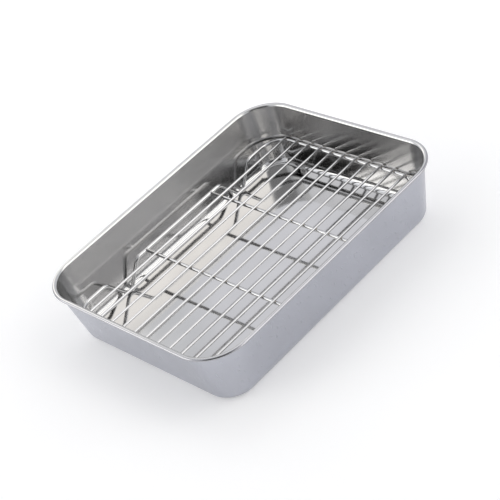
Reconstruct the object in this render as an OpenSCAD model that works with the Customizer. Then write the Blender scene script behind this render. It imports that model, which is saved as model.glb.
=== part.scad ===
// Stainless steel baking dish: a deep drawn tray with a rolled rim, and a loose wire rack
// that stands in it on four bent feet. Millimetres, +X along the dish, +Y across it, +Z up.
// The origin is at the middle of the underside, where the dish stands.

/* [Tray] */
// Length over the rim
tray_length = 250; // [220:1:320]
// Width over the rim
tray_width = 191; // [160:1:260]
// Height from the table to the top of the rim
tray_height = 51; // [44:0.5:70]
// Thickness of the steel sheet
sheet = 0.8; // [0.6:0.1:1]
// Lean of the walls away from upright, in degrees
wall_lean = 10.4; // [6:0.2:12]
// Radius of the rim's corners, seen from above
corner_radius = 32.5; // [28:0.5:38]
// Inside radius of the bend between the floor and the walls
floor_bend = 6; // [3:0.5:8]

/* [Rolled rim] */
// Width of the rim, from the inside of the wall to its outer edge
rim_width = 3.7; // [3.4:0.1:6]
// Radius of the bend from the wall out into the rim
rim_bend = 2; // [1.6:0.1:2.2]
// Radius of the roll at the rim's outer edge
rim_roll = 1.2; // [1.1:0.1:1.6]
// Length of the sheet's edge that is turned back under the rim
rim_return = 0.6; // [0.2:0.1:1]

/* [Rack frame] */
// Diameter of the frame's wire
frame_wire = 2.8; // [2.4:0.1:3.2]
// Room between each end of the frame and the wall, with the rack in the middle
end_room = 1.1; // [1.1:0.1:6]
// Room between the wire's centre at the feet and the edge of the flat floor, likewise
foot_room = 2.5; // [2.5:0.1:8]
// How much smaller the frame's corner radius is than the tray's
corner_step = 15; // [12:0.5:18]
// Distance from each foot to the nearer end of the frame
foot_inset = 50; // [46:0.5:60]
// Height of the wire's centre over its centre at the feet
leg_rise = 19.4; // [16:0.2:24]
// Radius of the bend at each foot, at the wire's centre
foot_bend = 5; // [3:0.1:6]
// Radius of the bends at the top of each leg, at the wire's centre
shoulder_bend = 6; // [4:0.1:7]

/* [Rack grid] */
// Number of grid wires along the dish
grid_count = 11; // [7:1:13]
// Diameter of the grid wires
grid_wire = 1.9; // [1.6:0.1:2.2]
// Distance from the frame's side to the first grid wire, beyond the spacing of the others
grid_margin = 0.7; // [0:0.1:3]
// Length of each grid wire beyond the centre of the frame's wire
grid_overhang = 1; // [0.6:0.1:1.4]
// Depth that the grid wires sink into the wires below them where they are welded
weld_sink = 0.3; // [0.1:0.05:0.5]
// Diameter of the two crossbars
crossbar_wire = 2.6; // [2.4:0.1:2.8]
// Distance from each crossbar to the feet beside it, along the dish
crossbar_step = 27.2; // [24:0.1:36]

/* [Rack place] */
// Distance of the loose rack from the middle, along the dish
rack_along = 0.5; // [-0.5:0.1:0.5]
// Distance of the loose rack from the middle, across the dish
rack_across = 3.3; // [-3.3:0.1:3.3]
// Gap between the rack's feet and the floor
foot_gap = 0.4; // [0.4:0.05:0.6]

/* [Hidden] */
// Fineness of round edges in the preview
$fn = 96;
// Length by which a cut runs past the face that it opens
overrun = 1;
// Lengths worked out from an angle are kept to this step, so that neighbouring pieces meet
cut_step = 0.01;
// Hair's breadth by which straight lengths and bends lap into each other, so that they join
lap = 0.00000002;

// The tray's section, measured outward from the centre of a corner's radius
corner_along = tray_length / 2 - corner_radius;
corner_across = tray_width / 2 - corner_radius;
rim_bend_at = [corner_radius - rim_width + rim_bend, tray_height - rim_bend];
rim_roll_at = [corner_radius - rim_roll, tray_height - rim_roll];
wall_top = on_bend(rim_bend_at, rim_bend, 180 - wall_lean);
wall_foot_z = sheet + floor_bend * (1 - sin(wall_lean));
wall_foot_x = wall_top[0] - (wall_top[1] - wall_foot_z) * tan(wall_lean);
floor_edge = trim(wall_foot_x - floor_bend * cos(wall_lean));
floor_bend_at = [floor_edge, sheet + floor_bend];

// Heights in the rack, at the wires' centres
foot_z = sheet + foot_gap + frame_wire / 2;
frame_z = foot_z + leg_rise;
crossbar_z = frame_z + (frame_wire - crossbar_wire) / 2;
grid_z = frame_z + (frame_wire + grid_wire) / 2 - weld_sink;

// The frame fits between the walls at its own height, and its feet fit on the flat floor
wall_at_frame = wall_top[0] - (wall_top[1] - frame_z) * tan(wall_lean);
frame_end = trim(corner_along + wall_at_frame - end_room - frame_wire / 2);
frame_side = corner_across + floor_edge - foot_room;
frame_corner = corner_radius - corner_step;
foot_x = frame_end - foot_inset;
crossbar_x = foot_x - crossbar_step;
grid_pitch = trim(2 * (frame_side - grid_margin) / (grid_count + 1));

// The legs slope four up for three along
leg_slope = atan2(4, 3);
leg_bends = shoulder_bend + foot_bend;
leg_run = (leg_rise - leg_bends * (1 - cos(leg_slope))) / sin(leg_slope);
leg_half = leg_bends * sin(leg_slope) + leg_run * cos(leg_slope);

// What the wire bender does over a quarter of the frame, from the middle of one side to the
// middle of one end: the length fed, the turn of the wire, the angle bent and the radius.
down = -90;
up = 90;
inward = 180;
quarter_steps = [
    [foot_x - leg_half, down, leg_slope, shoulder_bend],
    [leg_run, up, leg_slope, foot_bend],
    [0, up, leg_slope, foot_bend],
    [leg_run, down, leg_slope, shoulder_bend],
    [foot_inset - leg_half - frame_corner, inward, 90, frame_corner],
    [frame_side - frame_corner, 0, 0, 0]
];

function trim(length) = round(length / cut_step) * cut_step;
function on_bend(centre, radius, angle) = centre + radius * [cos(angle), sin(angle)];
function grid_name(i) = str("grid_wire_", i < 10 ? "0" : "", i);
function grid_y(i) = ((grid_count + 1) / 2 - i) * grid_pitch;

// The frame's end at a distance across the dish, further in where its corner curves away
function frame_end_at(y) =
    let (into_corner = max(0, abs(y) - frame_side + frame_corner))
        frame_end - frame_corner + sqrt(pow(frame_corner, 2) - pow(into_corner, 2));

// The sheet where it is bent: the outer part of a disc, cut off at the first and last angle
module bent_sheet(centre, radius, from, to) {
    inside = radius - sheet;
    reach = 2 * radius;
    intersection() {
        translate(centre)
            difference() {
                circle(r = radius);
                circle(r = inside);
            }
        polygon([
            centre,
            on_bend(centre, inside, from),
            on_bend(centre, radius, from),
            for (share = [0:0.25:1])
                on_bend(centre, reach, from + (to - from) * share),
            on_bend(centre, radius, to),
            on_bend(centre, inside, to)
        ]);
    }
}

// The section from the middle of a corner outward: floor, bend, wall and rolled rim
module tray_section() {
    wall_lap = lap * [sin(wall_lean), cos(wall_lean)];
    square([floor_edge, sheet]);
    bent_sheet(floor_bend_at, floor_bend + sheet, -90, -wall_lean);
    polygon([
        on_bend(floor_bend_at, floor_bend, -wall_lean) - wall_lap,
        on_bend(floor_bend_at, floor_bend + sheet, -wall_lean) - wall_lap,
        on_bend(rim_bend_at, rim_bend - sheet, 180 - wall_lean) + wall_lap,
        on_bend(rim_bend_at, rim_bend, 180 - wall_lean) + wall_lap
    ]);
    bent_sheet(rim_bend_at, rim_bend, 90, 180 - wall_lean);
    translate([rim_bend_at[0], tray_height - sheet])
        square([rim_roll_at[0] - rim_bend_at[0], sheet]);
    bent_sheet(rim_roll_at, rim_roll, -90, 90);
    translate([rim_roll_at[0] - rim_return, tray_height - 2 * rim_roll])
        square([rim_return, sheet]);
}

// One straight side of the tray: the section along a length, at its distance from the middle
module tray_side(run, out) {
    translate([out, run / 2, 0])
        rotate([90, 0, 0])
            linear_extrude(run)
                tray_section();
}

module tray() color("silver") {
    for (side = [0, 180])
        rotate(side) {
            tray_side(2 * corner_across, corner_along);
            rotate(90)
                tray_side(2 * corner_along, corner_across);
            translate([corner_along, corner_across, 0])
                rotate_extrude(angle = 90)
                    tray_section();
            translate([-corner_along, corner_across, 0])
                rotate(90)
                    rotate_extrude(angle = 90)
                        tray_section();
        }
    translate([-corner_along, -corner_across, 0])
        cube([2 * corner_along, 2 * corner_across, sheet]);
}

// A bend in a wire that comes in along +X at the origin and turns towards +Y: the part of a
// ring that lies between two straight cuts through its centre
module wire_bend(wire, angle, radius) {
    reach = 2 * radius;
    translate([0, radius, 0])
        intersection() {
            rotate_extrude()
                translate([radius, 0])
                    circle(d = wire);
            linear_extrude(2 * wire, center = true)
                polygon([
                    [0, 0],
                    [0, -reach],
                    [reach, -reach],
                    reach * [sin(angle), -cos(angle)] + lap * [cos(angle), sin(angle)]
                ]);
        }
}

// A wire bent as the steps say: fed forward, turned round its own line and bent, again and again
module bent_wire(wire, steps, i = 0) {
    feed = steps[i][0];
    turn = steps[i][1];
    angle = steps[i][2];
    radius = steps[i][3];
    if (feed > 0)
        rotate([0, 90, 0])
            cylinder(h = feed + lap, d = wire);
    if (i < len(steps) - 1)
        translate([feed, 0, 0])
            rotate([turn, 0, 0]) {
                wire_bend(wire, angle, radius);
                translate([radius * sin(angle), radius * (1 - cos(angle)), 0])
                    rotate(angle)
                        rotate([-turn, 0, 0])
                            bent_wire(wire, steps, i + 1);
            }
}

// A grid wire's own shape, which also leaves its seats in the wires below it
module grid_wire(i, extra = 0) {
    reach = frame_end_at(grid_y(i)) + grid_overhang + extra;
    translate([-reach, grid_y(i), grid_z])
        rotate([0, 90, 0])
            cylinder(h = 2 * reach, d = grid_wire);
}

module grid_seats() {
    for (i = [1:grid_count])
        grid_wire(i, overrun);
}

module place_rack() {
    translate([rack_along, rack_across, 0])
        children();
}

// One wire bent into the frame, with a leg near each end of both long sides
module rack_frame() color("gainsboro") place_rack()
    difference() {
        for (x = [0, 1], y = [0, 1])
            mirror([x, 0, 0])
                mirror([0, y, 0])
                    translate([0, frame_side, frame_z])
                        bent_wire(frame_wire, quarter_steps);
        grid_seats();
    }

// A straight wire across the frame, hollowed at its ends to fit the round of the frame's sides
module crossbar(x) color("lightgray") place_rack()
    difference() {
        reach = frame_side - frame_wire / 4;
        translate([x, reach, crossbar_z])
            rotate([90, 0, 0])
                cylinder(h = 2 * reach, d = crossbar_wire);
        for (y = [-frame_side, frame_side])
            translate([x - frame_wire, y, frame_z])
                rotate([0, 90, 0])
                    cylinder(h = 2 * frame_wire, d = frame_wire);
        grid_seats();
    }

module crossbar_near() crossbar(-crossbar_x);

module crossbar_far() crossbar(crossbar_x);

tray();
rack_frame();
crossbar_near();
crossbar_far();
for (i = [1:grid_count])
    color("whitesmoke") place_rack() grid_wire(i);
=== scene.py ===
"""Stainless steel baking dish: a deep drawn tray with a rolled rim, and a loose wire rack in it."""

import math

import bpy
import numpy as np
from mathutils import Matrix, Vector


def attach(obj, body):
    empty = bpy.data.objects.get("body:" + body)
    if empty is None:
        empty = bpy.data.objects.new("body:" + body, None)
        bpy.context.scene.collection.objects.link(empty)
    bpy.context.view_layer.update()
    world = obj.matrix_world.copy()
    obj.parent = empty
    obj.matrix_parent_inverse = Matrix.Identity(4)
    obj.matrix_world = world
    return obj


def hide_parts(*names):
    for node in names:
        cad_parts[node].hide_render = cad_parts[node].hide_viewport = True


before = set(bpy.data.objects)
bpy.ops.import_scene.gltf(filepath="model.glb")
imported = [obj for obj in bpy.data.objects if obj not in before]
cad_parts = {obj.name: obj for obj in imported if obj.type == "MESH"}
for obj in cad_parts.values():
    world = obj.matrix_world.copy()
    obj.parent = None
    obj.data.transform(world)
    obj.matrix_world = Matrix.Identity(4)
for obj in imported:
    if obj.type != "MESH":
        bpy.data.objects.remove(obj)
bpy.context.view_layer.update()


# Tray. One sheet of stainless steel, deep drawn in a press: a flat floor, leaning walls and
# round corners in one piece. Its edge is rolled outward and down into an open curl, which
# stiffens the rim. The press leaves the inside bright and the outside satin.

SHEET = 0.0008
TRAY_LENGTH = 0.250
TRAY_WIDTH = 0.191
TRAY_HEIGHT = 0.051
WALL_LEAN = math.radians(10.4)
CORNER_RADIUS = 0.0325
FLOOR_BEND = 0.006
RIM_WIDTH = 0.0037
RIM_BEND = 0.002
RIM_ROLL = 0.0012
RIM_RETURN = 0.0006


def arc(centre, radius, start, end, count):
    """Points on a circle in the section plane, from one angle to another in degrees, and the
    directions from its centre to them: centre plus radius times (cosine, sine)."""
    angle = np.radians(np.linspace(start, end, count))
    out = np.stack([np.cos(angle), np.sin(angle)], axis=1)
    return np.array(centre) + radius * out, out


def tray_section():
    """The closed outline of the sheet from the edge of the flat floor outward, as distances from
    a corner's axis and heights, with the outward direction at each point. The inside goes up the
    floor bend and the wall and over the rim to its rounded edge; the outside comes back below."""
    lean = math.degrees(WALL_LEAN)
    bend = np.array([CORNER_RADIUS - RIM_WIDTH + RIM_BEND, TRAY_HEIGHT - RIM_BEND])
    roll = np.array([CORNER_RADIUS - RIM_ROLL, TRAY_HEIGHT - RIM_ROLL])
    top = bend + RIM_BEND * np.array([-math.cos(WALL_LEAN), math.sin(WALL_LEAN)])
    foot = SHEET + FLOOR_BEND * (1 - math.sin(WALL_LEAN))
    edge = top[0] - (top[1] - foot) * math.tan(WALL_LEAN) - FLOOR_BEND * math.cos(WALL_LEAN)
    floor = np.array([edge, SHEET + FLOOR_BEND])
    parts = []
    for centre, radius, start, end, count, side in (
        (floor, FLOOR_BEND, -90, -lean, 15, -1),
        (bend, RIM_BEND, 180 - lean, 90, 13, 1),
        (roll, RIM_ROLL, 90, -90, 21, 1),
        (roll - [RIM_RETURN - SHEET / 2, RIM_ROLL - SHEET / 2], SHEET / 2, -90, -270, 9, 1),
        (roll, RIM_ROLL - SHEET, -90, 90, 13, -1),
        (bend, RIM_BEND - SHEET, 90, 180 - lean, 13, -1),
        (floor, FLOOR_BEND + SHEET, -lean, -90, 15, 1),
    ):
        points, out = arc(centre, radius, start, end, count)
        parts.append((points, side * out))
    return np.concatenate([p for p, _ in parts]), np.concatenate([n for _, n in parts])


def tray_path(steps=24):
    """The way round the tray, as the centre of the corner that each step turns about and the
    direction out of it: a quarter turn about each of the four corners, joined by straight runs."""
    turn = np.linspace(0, math.pi / 2, steps + 1)
    angle = np.concatenate([turn + k * math.pi / 2 for k in range(4)])
    along = TRAY_LENGTH / 2 - CORNER_RADIUS
    across = TRAY_WIDTH / 2 - CORNER_RADIUS
    corner = np.repeat([[along, across], [-along, across], [-along, -across], [along, -across]],
                       steps + 1, axis=0)
    return corner, np.stack([np.cos(angle), np.sin(angle)], axis=1)


def surface(name, points, normals, faces, materials, face_material=None):
    """A mesh object from arrays of points, faces and each point's own outward direction."""
    mesh = bpy.data.meshes.new(name)
    mesh.from_pydata(points.reshape(-1, 3).tolist(), [], faces)
    for material in materials:
        mesh.materials.append(material)
    if face_material is not None:
        mesh.polygons.foreach_set("material_index", np.asarray(face_material, dtype=np.int32))
    mesh.polygons.foreach_set("use_smooth", np.ones(len(faces), dtype=bool))
    mesh.normals_split_custom_set_from_vertices(normals.reshape(-1, 3).tolist())
    mesh.update()
    piece = bpy.data.objects.new(name, mesh)
    bpy.context.collection.objects.link(piece)
    return piece


def net(rows, columns, joined=False):
    """Four-sided faces over rows of points that each close into a ring: a point, the one above it
    in the next row, that one's neighbour and the point's own. The last row meets the first again
    where the surface is joined."""
    row, column = np.meshgrid(np.arange(rows if joined else rows - 1), np.arange(columns), indexing="ij")
    here, over = row * columns + column, row * columns + (column + 1) % columns
    above, above_over = (here + columns) % (rows * columns), (over + columns) % (rows * columns)
    return np.stack([here, above, above_over, over], axis=-1).reshape(-1, 4)


def tray_mesh(finishes):
    """The section carried round the path: a point is the corner's centre plus its distance times
    the direction out, at its height. The two flat faces of the floor close the ends. The finishes
    are those of the floor and its bend, the wall, the top of the rim, the curl's outer face and
    the outside, and they cover so many steps of the section, the outside all that are left."""
    section, out = tray_section()
    corner, way = tray_path()
    rings, steps = len(section), len(way)
    points = np.empty((rings, steps, 3))
    points[..., :2] = corner[None] + section[:, None, :1] * way[None]
    points[..., 2] = section[:, 1:]
    normals = np.empty_like(points)
    normals[..., :2] = out[:, None, :1] * way[None]
    normals[..., 2] = out[:, 1:]
    covers = [14, 1, 14, 11]
    finish = np.repeat(np.repeat(range(5), covers + [rings - 1 - sum(covers)]), steps)
    floor_top = list(range(steps))
    floor_under = list(range((rings - 1) * steps, rings * steps))[::-1]
    faces = net(rings, steps).tolist() + [floor_top, floor_under]
    return surface("tray_shell", points, normals, faces, finishes, np.append(finish, [0, 4]))


def node(tree, kind, joins=(), **settings):
    """A new node with its settings, and its numbered or named sockets set to values or joined to
    the sockets of other nodes."""
    made = tree.nodes.new("ShaderNode" + kind)
    for name, value in settings.items():
        setattr(made, name, value)
    for socket, value in dict(joins).items():
        if isinstance(value, bpy.types.NodeSocket):
            tree.links.new(value, made.inputs[socket])
        else:
            made.inputs[socket].default_value = value
    return made


def steel(name, colour, roughness, spread, grain, depth, rough_rise=None):
    """A bare steel finish. Its grain is noise on the object's own coordinates, drawn out along
    one way by three scales: it moves the roughness by up to the spread either way and raises the
    surface by up to the depth. Broad, faint clouds shade the colour. Where a rise is given as two
    heights and an amount, the roughness grows by that amount between them."""
    material = bpy.data.materials.new(name)
    material.use_nodes = True
    tree = material.node_tree
    shader = tree.nodes["Principled BSDF"]
    shader.inputs["Metallic"].default_value = 1
    place = node(tree, "TexCoord").outputs["Object"]
    drawn = node(tree, "Mapping", {"Vector": place, "Scale": grain})
    fine = node(tree, "TexNoise", {"Vector": drawn.outputs[0], "Scale": 1.0, "Detail": 3.0, "Roughness": 0.6})
    rough = node(tree, "MapRange", {"Value": fine.outputs[0], "From Min": 0.3, "From Max": 0.7,
                                    "To Min": roughness - spread, "To Max": roughness + spread}).outputs[0]
    if rough_rise:
        height = node(tree, "SeparateXYZ", {0: place}).outputs["Z"]
        low, high, amount = rough_rise
        rise = node(tree, "MapRange", {"Value": height, "From Min": low, "From Max": high,
                                       "To Min": 0.0, "To Max": amount}, interpolation_type="SMOOTHSTEP")
        rough = node(tree, "Math", {0: rough, 1: rise.outputs[0]}, operation="ADD").outputs[0]
    tree.links.new(rough, shader.inputs["Roughness"])
    clouds = node(tree, "TexNoise", {"Vector": place, "Scale": 30.0, "Detail": 2.0})
    shade = node(tree, "MapRange", {"Value": clouds.outputs[0], "From Min": 0.3, "From Max": 0.7,
                                    "To Min": 0.965, "To Max": 1.035})
    tone = node(tree, "VectorMath", {0: colour, "Scale": shade.outputs[0]}, operation="SCALE")
    tree.links.new(tone.outputs[0], shader.inputs["Base Color"])
    bump = node(tree, "Bump", {"Height": fine.outputs[0], "Strength": 1.0, "Distance": depth})
    tree.links.new(bump.outputs[0], shader.inputs["Normal"])
    return material


bright_floor = steel("bright_floor", (0.59, 0.59, 0.59), 0.07, 0.012, (60, 1500, 60), 0.000001)
drawn_wall = steel("drawn_wall", (0.61, 0.605, 0.6), 0.08, 0.01, (1100, 1100, 30), 0.0000003,
                   (0.008, 0.045, 0.13))
polished_rim = steel("polished_rim", (0.61, 0.61, 0.605), 0.14, 0.03, (150, 150, 150), 0.0000005)
# Painted shade: the curl's outer face gets a darker colour than the rest of the steel. This draws the dark
# line along the rim's outer edge that the darker ground behind the dish gives in reflection.
curl_painted_shade = steel("curl_painted_shade", (0.42, 0.42, 0.44), 0.2, 0.04, (300, 300, 900), 0.000001)
# The roughness is the outside's real satin finish. Its colour's blue tint and low level are painted
# reflection: they stand for the dim, bluish surroundings that the outer walls show.
satin_painted_reflection = steel("satin_painted_reflection", (0.5, 0.51, 0.56), 0.29, 0.02, (900, 900, 60), 0.0000004)
tray_shell = tray_mesh([bright_floor, drawn_wall, polished_rim, curl_painted_shade, satin_painted_reflection])
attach(tray_shell, "tray")
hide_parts("tray")


# Rack frame. One thick, bright stainless wire, bent cold into a rounded rectangle with four
# V-shaped legs, and welded end to end. It stands loose on the tray's floor.

RACK_AT = np.array([0.0005, 0.0033, 0.0])
FRAME_WIRE = 0.0028
FRAME_END = 0.11381
FRAME_SIDE = 0.07542
FRAME_CORNER = 0.0175
FRAME_HEIGHT = 0.022
FOOT_INSET = 0.050
LEG_RISE = 0.0194
LEG_SLOPE = math.atan2(4, 3)
FOOT_BEND = 0.005
SHOULDER_BEND = 0.006


def bent_line(point, way, steps):
    """The points of a wire's centre line and its direction at each. The wire is fed straight and
    then bent about an axis, again and again: after an angle a of a bend it has gone the radius
    times sin a forward and 1 - cos a to the side, and it points cos a forward and sin a aside."""
    points, ways = [point[None]], [way[None]]
    for feed, axis, angle, radius in steps:
        point = point + feed * way
        a = np.radians(np.linspace(0, angle, round(angle / 5) + 1))[:, None]
        aside = np.cross(axis, way)
        points.append(point + radius * (np.sin(a) * way + (1 - np.cos(a)) * aside))
        ways.append(np.cos(a) * way + np.sin(a) * aside)
        point, way = points[-1][-1], ways[-1][-1]
    points, ways = np.concatenate(points), np.concatenate(ways)
    apart = np.linalg.norm(np.diff(points, axis=0), axis=1) > 1e-9
    return points[np.append(True, apart)], ways[np.append(True, apart)]


def frame_line():
    """The frame's closed centre line: a quarter from the middle of one side to the middle of an
    end, then its mirror images, every other one taken backwards, until the line is closed."""
    slope = math.degrees(LEG_SLOPE)
    bends = FOOT_BEND + SHOULDER_BEND
    run = (LEG_RISE - bends * (1 - math.cos(LEG_SLOPE))) / math.sin(LEG_SLOPE)
    half = bends * math.sin(LEG_SLOPE) + run * math.cos(LEG_SLOPE)
    down, up, inward = np.array([0.0, 1, 0]), np.array([0.0, -1, 0]), np.array([0.0, 0, -1])
    line, way = bent_line(np.array([0, FRAME_SIDE, FRAME_HEIGHT]), np.array([1.0, 0, 0]), (
        (FRAME_END - FOOT_INSET - half, down, slope, SHOULDER_BEND),
        (run, up, slope, FOOT_BEND),
        (0, up, slope, FOOT_BEND),
        (run, down, slope, SHOULDER_BEND),
        (FOOT_INSET - half - FRAME_CORNER, inward, 90, FRAME_CORNER),
        (FRAME_SIDE - FRAME_CORNER, inward, 0, 0),
    ))
    lines, ways = [], []
    for x, y, order in ((1, 1, 1), (1, -1, -1), (-1, -1, 1), (-1, 1, -1)):
        lines.append((line * (x, y, 1))[::order][:-1])
        ways.append((order * way * (x, y, 1))[::order][:-1])
    return np.concatenate(lines) + RACK_AT, np.concatenate(ways)


def wire_rings(line, way, radius, sides=24):
    """Rings round a line: aside is level and square to it, over is square to both, and a ring is
    the line's point plus the radius times (cosine, sine) of these."""
    aside = np.cross([0.0, 0, 1], way)
    aside /= np.linalg.norm(aside, axis=1, keepdims=True)
    over = np.cross(way, aside)
    angle = np.linspace(0, 2 * math.pi, sides, endpoint=False)[:, None]
    out = np.cos(angle) * aside[:, None] + np.sin(angle) * over[:, None]
    return line[:, None] + np.reshape(radius, (-1, 1, 1)) * out, out


def frame_mesh(finish):
    """Rings round the frame's line, joined back to the first."""
    line, way = frame_line()
    points, out = wire_rings(line, way, FRAME_WIRE / 2)
    return surface("bent_frame", points, out, net(*points.shape[:2], joined=True)[:, ::-1].tolist(), [finish])


frame_bright = steel("frame_bright", (0.6, 0.6, 0.6), 0.065, 0.02, (300, 900, 900), 0.0000015)
bent_frame = frame_mesh(frame_bright)
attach(bent_frame, "rack")
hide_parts("rack_frame")


# Crossbars. Two straight wires of bright stainless steel, a little thinner than the frame's, set
# across the frame, butted against its sides and welded there.

CROSSBAR_WIRE = 0.0026
CROSSBAR_X = 0.03661
CROSSBAR_HEIGHT = FRAME_HEIGHT + (FRAME_WIRE - CROSSBAR_WIRE) / 2
CROSSBAR_REACH = FRAME_SIDE - FRAME_WIRE / 4
CROSSBAR_ROUNDING = 0.0001


def bar_mesh(name, start, end, wire, rounding, finish):
    """A straight wire with rounded ends: rings at the ends step in along a quarter circle of the
    rounding's radius, where the direction out turns from aside to along the wire."""
    start, end = np.array(start), np.array(end)
    way = (end - start) / np.linalg.norm(end - start)
    quarter = np.radians(np.linspace(90, 0, 5))
    turn = np.append(quarter, quarter[::-1])
    sense = np.repeat([-1.0, 1.0], len(quarter))
    line = np.where(sense[:, None] < 0, start, end) - (sense * rounding * (1 - np.sin(turn)))[:, None] * way
    ways = np.tile(way, (len(turn), 1))
    points, out = wire_rings(line + RACK_AT, ways, wire / 2 - rounding * (1 - np.cos(turn)))
    out = np.cos(turn)[:, None, None] * out + (sense * np.sin(turn))[:, None, None] * way
    rings, sides = points.shape[:2]
    first_end = list(range(sides))[::-1]
    last_end = list(range((rings - 1) * sides, rings * sides))
    faces = net(rings, sides)[:, ::-1].tolist() + [first_end, last_end]
    return surface(name, points, out, faces, [finish])


crossbar_bright = steel("crossbar_bright", (0.6, 0.6, 0.6), 0.065, 0.02, (900, 300, 900), 0.0000015)
for x, name in ((-CROSSBAR_X, "crossbar_near"), (CROSSBAR_X, "crossbar_far")):
    one_end, other_end = (x, -CROSSBAR_REACH, CROSSBAR_HEIGHT), (x, CROSSBAR_REACH, CROSSBAR_HEIGHT)
    crossbar = bar_mesh(name + "_bar", one_end, other_end, CROSSBAR_WIRE, CROSSBAR_ROUNDING, crossbar_bright)
    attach(crossbar, "rack")
    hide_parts(name)


# Grid wires. Eleven thin bright wires along the rack, laid over the frame's ends and the
# crossbars, spot welded at every crossing and cut off just past the frame.

GRID_WIRE = 0.0019
GRID_COUNT = 11
GRID_PITCH = 0.01245
GRID_OVERHANG = 0.001
GRID_ROUNDING = 0.0002
WELD_SINK = 0.0003
GRID_HEIGHT = FRAME_HEIGHT + (FRAME_WIRE + GRID_WIRE) / 2 - WELD_SINK


def frame_end_at(y):
    """Where the frame's wire runs at a distance across it: its end, less what its corner's circle
    falls short there, the radius less the square root of radius squared less the way in squared."""
    way_in = np.maximum(0, np.abs(y) - FRAME_SIDE + FRAME_CORNER)
    return FRAME_END - FRAME_CORNER + np.sqrt(FRAME_CORNER ** 2 - way_in ** 2)


grid_bright = steel("grid_bright", (0.6, 0.6, 0.605), 0.065, 0.02, (200, 1200, 1200), 0.0000015)
grid_lines = ((GRID_COUNT + 1) / 2 - np.arange(1, GRID_COUNT + 1)) * GRID_PITCH
grid_ends = frame_end_at(grid_lines)
for i, (y, end) in enumerate(zip(grid_lines, grid_ends), start=1):
    reach = end + GRID_OVERHANG
    one_end, other_end = (-reach, y, GRID_HEIGHT), (reach, y, GRID_HEIGHT)
    rod = bar_mesh(f"grid_rod_{i:02d}", one_end, other_end, GRID_WIRE, GRID_ROUNDING, grid_bright)
    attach(rod, "rack")
    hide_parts(f"grid_wire_{i:02d}")


# Spot welds. Steel pressed out between the wires where they sank into each other, a low bead at
# each crossing, dulled by the heat.

BEAD_HALF = np.array([0.00115, 0.00115, 0.0004])


def bead_mesh(places, finish, rows=9, columns=16):
    """Beads at the crossings: half widths times (cos e cos a, cos e sin a, sin e), for turns a and
    elevations e, with the poles left as small flat faces."""
    e = np.radians(np.linspace(-85, 85, rows))[:, None]
    a = np.linspace(0, 2 * math.pi, columns, endpoint=False)[None]
    ball = np.stack([np.cos(e) * np.cos(a), np.cos(e) * np.sin(a), np.sin(e) + 0 * a], axis=-1)
    out = ball / BEAD_HALF
    out /= np.linalg.norm(out, axis=-1, keepdims=True)
    points = places[:, None, None] + BEAD_HALF * ball
    each, last_row = rows * columns, (rows - 1) * columns
    first = each * np.arange(len(places))[:, None]
    sides = (net(rows, columns)[:, ::-1] + first[:, None]).reshape(-1, 4)
    low_poles = first + np.arange(columns)[::-1]
    high_poles = first + last_row + np.arange(columns)
    faces = sides.tolist() + low_poles.tolist() + high_poles.tolist()
    return surface("weld_beads", points, np.tile(out, (len(places), 1, 1, 1)), faces, [finish])


weld_dull = steel("weld_dull", (0.46, 0.39, 0.32), 0.3, 0.08, (1500, 1500, 1500), 0.00001)
across = np.tile(grid_lines, 4)
along = np.concatenate([-grid_ends, grid_ends, np.repeat([-CROSSBAR_X, CROSSBAR_X], GRID_COUNT)])
height = np.full(across.size, FRAME_HEIGHT + FRAME_WIRE / 2 - WELD_SINK / 2)
weld_beads = bead_mesh(np.stack([along, across, height], axis=-1) + RACK_AT, weld_dull)
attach(weld_beads, "rack")


# Studio floor. Plain white board, which keeps the dish's soft shadow and has a little light of its
# own where it is seen directly or in the steel, so that it ends in the white of the world.

FLOOR_RADIUS = 2.4
FLOOR_SIDES = 96
FLOOR_WHITE = (0.86, 0.86, 0.86, 1)
FLOOR_GLOW = 0.24


def ring_points(radius, count):
    """Points round a level circle at height zero: radius times (cosine, sine)."""
    angle = np.linspace(0, 2 * math.pi, count, endpoint=False)
    return np.stack([radius * np.cos(angle), radius * np.sin(angle), np.zeros(count)], axis=1)


def seen_ray(tree):
    """One for a ray from the camera or off or through a shiny surface, and zero for any other: the
    largest of the three."""
    path = node(tree, "LightPath").outputs
    seen = path["Is Camera Ray"]
    for name in ("Is Glossy Ray", "Is Transmission Ray"):
        seen = node(tree, "Math", {0: seen, 1: path[name]}, operation="MAXIMUM").outputs[0]
    return seen


floor_board = bpy.data.materials.new("floor_board")
floor_board.use_nodes = True
board = floor_board.node_tree.nodes["Principled BSDF"]
board.inputs["Base Color"].default_value = FLOOR_WHITE
board.inputs["Roughness"].default_value = 0.9
board.inputs["Specular IOR Level"].default_value = 0
board.inputs["Emission Color"].default_value = (1, 1, 1, 1)
own_light = node(floor_board.node_tree, "Math", {0: seen_ray(floor_board.node_tree), 1: FLOOR_GLOW},
                 operation="MULTIPLY")
floor_board.node_tree.links.new(own_light.outputs[0], board.inputs["Emission Strength"])

rim = ring_points(FLOOR_RADIUS, FLOOR_SIDES)
ground = surface("ground", rim, np.tile([0.0, 0.0, 1.0], (FLOOR_SIDES, 1)), [list(range(FLOOR_SIDES))],
                 [floor_board])


# Light tent. A round tent of white cloth over the dish, with soft boxes behind the cloth and one
# open, dark side. The camera looks through it and the steel shows it.

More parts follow.
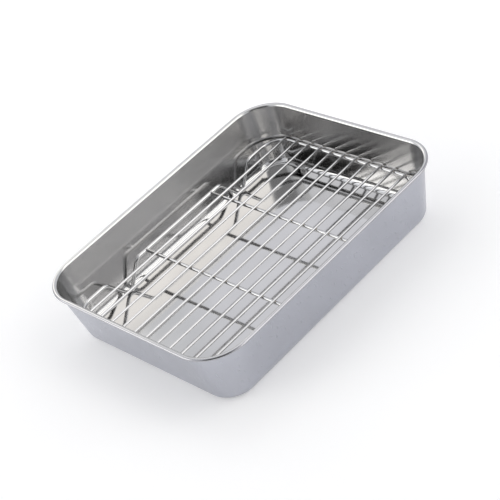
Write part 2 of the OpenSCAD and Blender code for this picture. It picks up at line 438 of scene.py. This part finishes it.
TENT_RADIUS = 2.3
TENT_CLOTH = (0.8, 0.81, 0.84)
TENT_BOXES = (
    # azimuth, elevation, half width, half height, soft edge in degrees, colour
    (-128, 62, 64, 22, 12, (0.42, 0.42, 0.43)),
    (-138, 16, 36, 36, 8, (0.03, 0.03, 0.03)),
    (-60, 20, 27, 30, 8, (2.0, 1.98, 1.96)),
    (-48, 62, 30, 9, 6, (1.4, 1.4, 1.4)),
    (-46, 53, 24, 9, 5, (2.1, 2.04, 1.97)),
    (52, 60, 34, 12, 7, (1.5, 1.5, 1.52)),
    (52, 40, 12, 9, 5, (0.97, 0.97, 1.02)),
    (78, 26, 14, 22, 5, (1.8, 1.76, 1.73)),
    (56, 6, 12, 14, 5, (0.2, 0.2, 0.21)),
    (110, 46, 17, 9, 6, (1.35, 1.36, 1.41)),
    (143, 14, 24, 28, 8, (2.5, 2.47, 2.42)),
    (143, 48, 18, 10, 6, (1.05, 1.05, 1.05)),
    (0, 90, 360, 14, 8, (0.6, 0.6, 0.61)),
)


def smooth_step(value):
    """Zero below 0, one above 1, and 3 v squared less 2 v cubed between them."""
    v = np.clip(value, 0, 1)
    return v * v * (3 - 2 * v)


def tent_glow(azimuth, elevation):
    """The light of the tent's cloth in a direction in degrees: the plain cloth, covered by each
    soft box in turn with a smooth step across its edges."""
    glow = np.tile(np.array(TENT_CLOTH), (*azimuth.shape, 1))
    for middle, height, wide, high, soft, colour in TENT_BOXES:
        aside = np.abs((azimuth - middle + 180) % 360 - 180)
        share = smooth_step((wide - aside) / soft) * smooth_step((high - np.abs(elevation - height)) / soft)
        glow += share[..., None] * (np.array(colour) - glow)
    return glow


def tent_mesh(finish, rows=72, columns=144):
    """A half sphere over the floor: radius times (cos e cos a, cos e sin a, sin e), for azimuths a
    and elevations e up to a small flat top, with the glow at each point as a colour attribute."""
    elevation = np.linspace(0, 89.9, rows)
    azimuth = np.linspace(0, 360, columns, endpoint=False)
    el, az = np.meshgrid(elevation, azimuth, indexing="ij")
    e, a = np.radians(el), np.radians(az)
    out = np.stack([np.cos(e) * np.cos(a), np.cos(e) * np.sin(a), np.sin(e)], axis=-1)
    top = list(range((rows - 1) * columns, rows * columns))[::-1]
    tent = surface("light_tent", TENT_RADIUS * out, -out, net(rows, columns).tolist() + [top], [finish])
    glow = tent.data.color_attributes.new("glow", "FLOAT_COLOR", "POINT")
    colours = np.ones((rows * columns, 4))
    colours[:, :3] = tent_glow(az, el).reshape(-1, 3)
    glow.data.foreach_set("color", colours.ravel())
    return tent


tent_cloth = bpy.data.materials.new("tent_cloth")
tent_cloth.use_nodes = True
cloth = tent_cloth.node_tree
cloth.nodes.remove(cloth.nodes["Principled BSDF"])
glow_colour = node(cloth, "Attribute", attribute_name="glow").outputs["Color"]
cloth_light = node(cloth, "Emission", {"Color": glow_colour})
cloth.links.new(cloth_light.outputs[0], cloth.nodes["Material Output"].inputs["Surface"])
light_tent = tent_mesh(tent_cloth)
light_tent.visible_camera = False

world = bpy.data.worlds.new("white_world")
bpy.context.scene.world = world
world.use_nodes = True
world.node_tree.nodes["Background"].inputs["Color"].default_value = (1, 1, 1, 1)
world.node_tree.nodes["Background"].inputs["Strength"].default_value = 1


# Camera. It stands at the photograph's viewing angle, on the side of the near corner, turned a
# little about its own axis, and looks past the middle of the dish by small steps right and up.

AZIMUTH = math.radians(-33.98)
ELEVATION = math.radians(36.936)
ROLL = math.radians(-20.778)
DISTANCE = 1.1038
AIM_RIGHT = -0.00628
AIM_UP = 0.01538
SENSOR_WIDTH = 36
PICTURE_WIDTH = 500
FOCAL_PIXELS = 1484.2

back = Vector((math.sin(AZIMUTH) * math.cos(ELEVATION), -math.cos(AZIMUTH) * math.cos(ELEVATION),
               math.sin(ELEVATION)))
level = Vector((0, 0, 1)).cross(back).normalized()
upright = back.cross(level)
right = math.cos(ROLL) * level + math.sin(ROLL) * upright
above = -math.sin(ROLL) * level + math.cos(ROLL) * upright
lens = bpy.data.cameras.new("camera")
lens.sensor_width = SENSOR_WIDTH
lens.lens = SENSOR_WIDTH * FOCAL_PIXELS / PICTURE_WIDTH
lens.clip_start, lens.clip_end = 0.05, 50
camera = bpy.data.objects.new("camera", lens)
camera.rotation_mode = "QUATERNION"
camera.location = back * DISTANCE + right * AIM_RIGHT + above * AIM_UP
camera.rotation_quaternion = Matrix((right, above, back)).transposed().to_quaternion()
bpy.context.collection.objects.link(camera)
bpy.context.scene.camera = camera
bpy.context.scene.view_settings.view_transform = "Standard"
